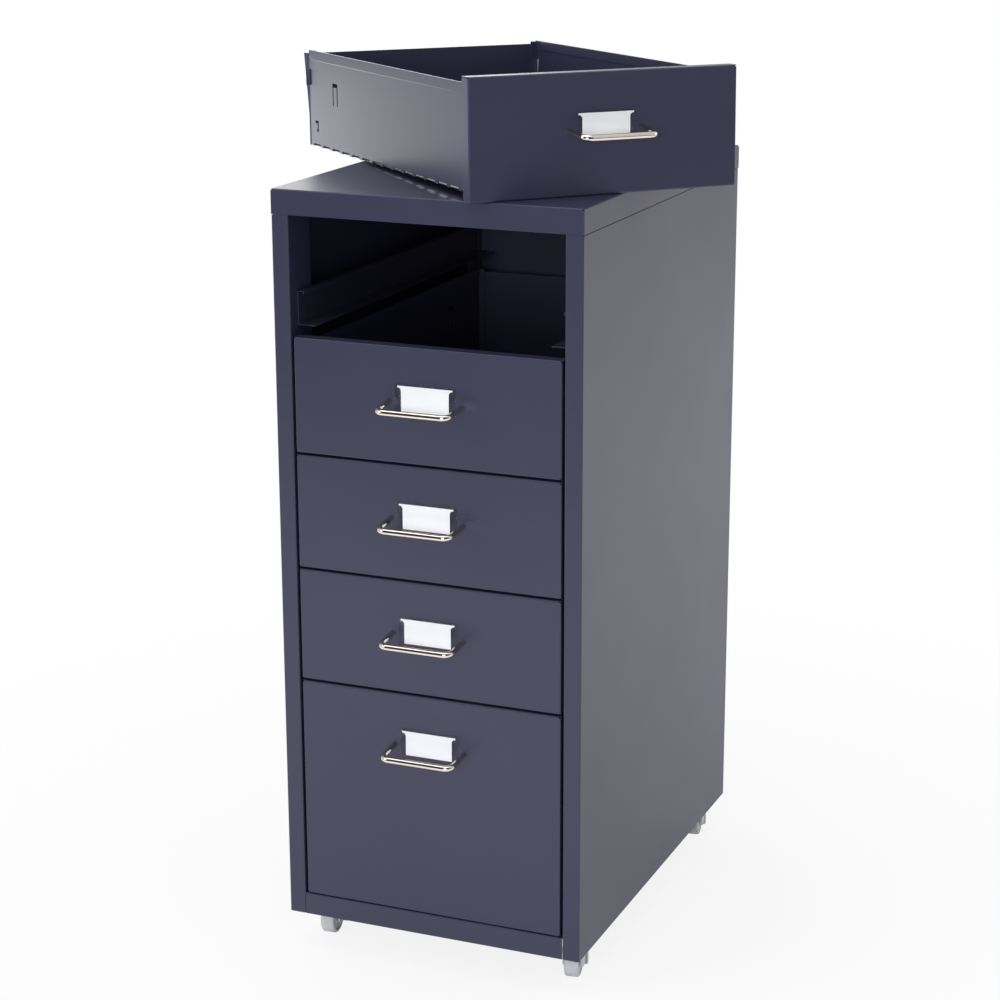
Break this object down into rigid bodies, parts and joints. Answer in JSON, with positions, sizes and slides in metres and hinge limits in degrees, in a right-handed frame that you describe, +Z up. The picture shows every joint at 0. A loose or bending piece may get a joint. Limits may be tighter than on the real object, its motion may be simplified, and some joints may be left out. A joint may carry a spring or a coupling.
{
  "type": "narrow drawer unit on castors",
  "caption": "Narrow floor-standing cabinet of folded sheet steel on swivel castors, with handled drawers, one of them taken out and lying on top.",
  "frame": {"origin": "on the floor, under the middle of the cabinet's footprint", "axes": "+Z up, the drawer fronts face -Y, +X to the right seen from the front"},
  "size_m": [0.4487, 0.4605, 0.7907],
  "materials": {
    "cabinet_paint": "satin powder coat",
    "front_paint": "satin powder coat",
    "shell_paint": "satin powder coat",
    "runner_paint": "satin powder coat",
    "handle_chrome": "polished chrome plate",
    "zinc_steel": "bright zinc plate",
    "clear_plastic": "clear and glossy",
    "label_paper": "matte white card",
    "castor_plastic": "moulded light grey nylon"
  },
  "bodies": {
    "cabinet": {"top_cap": "cabinet_paint", "side_panel_left": "cabinet_paint", "side_panel_right": "cabinet_paint", "base_pan": "cabinet_paint", "back_panel": "cabinet_paint", "runner_1_left": "runner_paint", "runner_1_right": "runner_paint", "runner_2_left": "runner_paint", "runner_2_right": "runner_paint", "runner_3_left": "runner_paint", "runner_3_right": "runner_paint", "runner_4_left": "runner_paint", "runner_4_right": "runner_paint", "runner_5_left": "runner_paint", "runner_5_right": "runner_paint", "castor_stems": "zinc_steel"},
    "drawer_1": {"drawer_1_shell": "shell_paint", "drawer_1_front": "front_paint", "drawer_1_handle": "handle_chrome", "drawer_1_label_holder": "clear_plastic", "drawer_1_label_card": "label_paper"},
    "drawer_2": {"drawer_2_shell": "shell_paint", "drawer_2_front": "front_paint", "drawer_2_handle": "handle_chrome", "drawer_2_label_holder": "clear_plastic", "drawer_2_label_card": "label_paper"},
    "drawer_3": {"drawer_3_shell": "shell_paint", "drawer_3_front": "front_paint", "drawer_3_handle": "handle_chrome", "drawer_3_label_holder": "clear_plastic", "drawer_3_label_card": "label_paper"},
    "drawer_4": {"drawer_4_shell": "shell_paint", "drawer_4_front": "front_paint", "drawer_4_handle": "handle_chrome", "drawer_4_label_holder": "clear_plastic", "drawer_4_label_card": "label_paper"},
    "drawer_5": {"drawer_5_shell": "shell_paint", "drawer_5_front": "front_paint", "drawer_5_handle": "handle_chrome", "drawer_5_label_holder": "clear_plastic", "drawer_5_label_card": "label_paper"},
    "castor_front_left": {"castor_front_left_hood": "castor_plastic", "castor_front_left_axle": "zinc_steel"},
    "castor_front_left_roller": {"castor_front_left_wheel": "castor_plastic"},
    "castor_front_right": {"castor_front_right_hood": "castor_plastic", "castor_front_right_axle": "zinc_steel"},
    "castor_front_right_roller": {"castor_front_right_wheel": "castor_plastic"},
    "castor_rear_left": {"castor_rear_left_hood": "castor_plastic", "castor_rear_left_axle": "zinc_steel"},
    "castor_rear_left_roller": {"castor_rear_left_wheel": "castor_plastic"},
    "castor_rear_right": {"castor_rear_right_hood": "castor_plastic", "castor_rear_right_axle": "zinc_steel"},
    "castor_rear_right_roller": {"castor_rear_right_wheel": "castor_plastic"}
  },
  "joints": [
    {"name": "drawer_1_lift", "type": "slide", "parent": "cabinet", "child": "drawer_1", "axis": [0, 0, 1], "range_m": [0, 0.3]},
    {"name": "drawer_2_slide", "type": "slide", "parent": "cabinet", "child": "drawer_2", "axis": [0, -1, 0], "range_m": [0, 0.3]},
    {"name": "drawer_3_slide", "type": "slide", "parent": "cabinet", "child": "drawer_3", "axis": [0, -1, 0], "range_m": [0, 0.3]},
    {"name": "drawer_4_slide", "type": "slide", "parent": "cabinet", "child": "drawer_4", "axis": [0, -1, 0], "range_m": [0, 0.3]},
    {"name": "drawer_5_slide", "type": "slide", "parent": "cabinet", "child": "drawer_5", "axis": [0, -1, 0], "range_m": [0, 0.3]},
    {"name": "castor_front_left_swivel", "type": "hinge", "parent": "cabinet", "child": "castor_front_left", "pos_m": [-0.1185, -0.155, 0.03], "axis": [0, 0, 1], "continuous": true},
    {"name": "castor_front_left_roll", "type": "hinge", "parent": "castor_front_left", "child": "castor_front_left_roller", "pos_m": [-0.11725, -0.16693, 0.015], "axis": [0.9945, 0.1045, 0], "continuous": true},
    {"name": "castor_front_right_swivel", "type": "hinge", "parent": "cabinet", "child": "castor_front_right", "pos_m": [0.1185, -0.155, 0.03], "axis": [0, 0, 1], "continuous": true},
    {"name": "castor_front_right_roll", "type": "hinge", "parent": "castor_front_right", "child": "castor_front_right_roller", "pos_m": [0.12058, -0.16682, 0.015], "axis": [0.9848, 0.1736, 0], "continuous": true},
    {"name": "castor_rear_left_swivel", "type": "hinge", "parent": "cabinet", "child": "castor_rear_left", "pos_m": [-0.1185, 0.181, 0.03], "axis": [0, 0, 1], "continuous": true},
    {"name": "castor_rear_left_roll", "type": "hinge", "parent": "castor_rear_left", "child": "castor_rear_left_roller", "pos_m": [-0.1156, 0.16936, 0.015], "axis": [0.9703, 0.2419, 0], "continuous": true},
    {"name": "castor_rear_right_swivel", "type": "hinge", "parent": "cabinet", "child": "castor_rear_right", "pos_m": [0.1185, 0.181, 0.03], "axis": [0, 0, 1], "continuous": true},
    {"name": "castor_rear_right_roll", "type": "hinge", "parent": "castor_rear_right", "child": "castor_rear_right_roller", "pos_m": [0.12058, 0.16918, 0.015], "axis": [0.9848, 0.1736, 0], "continuous": true}
  ]
}
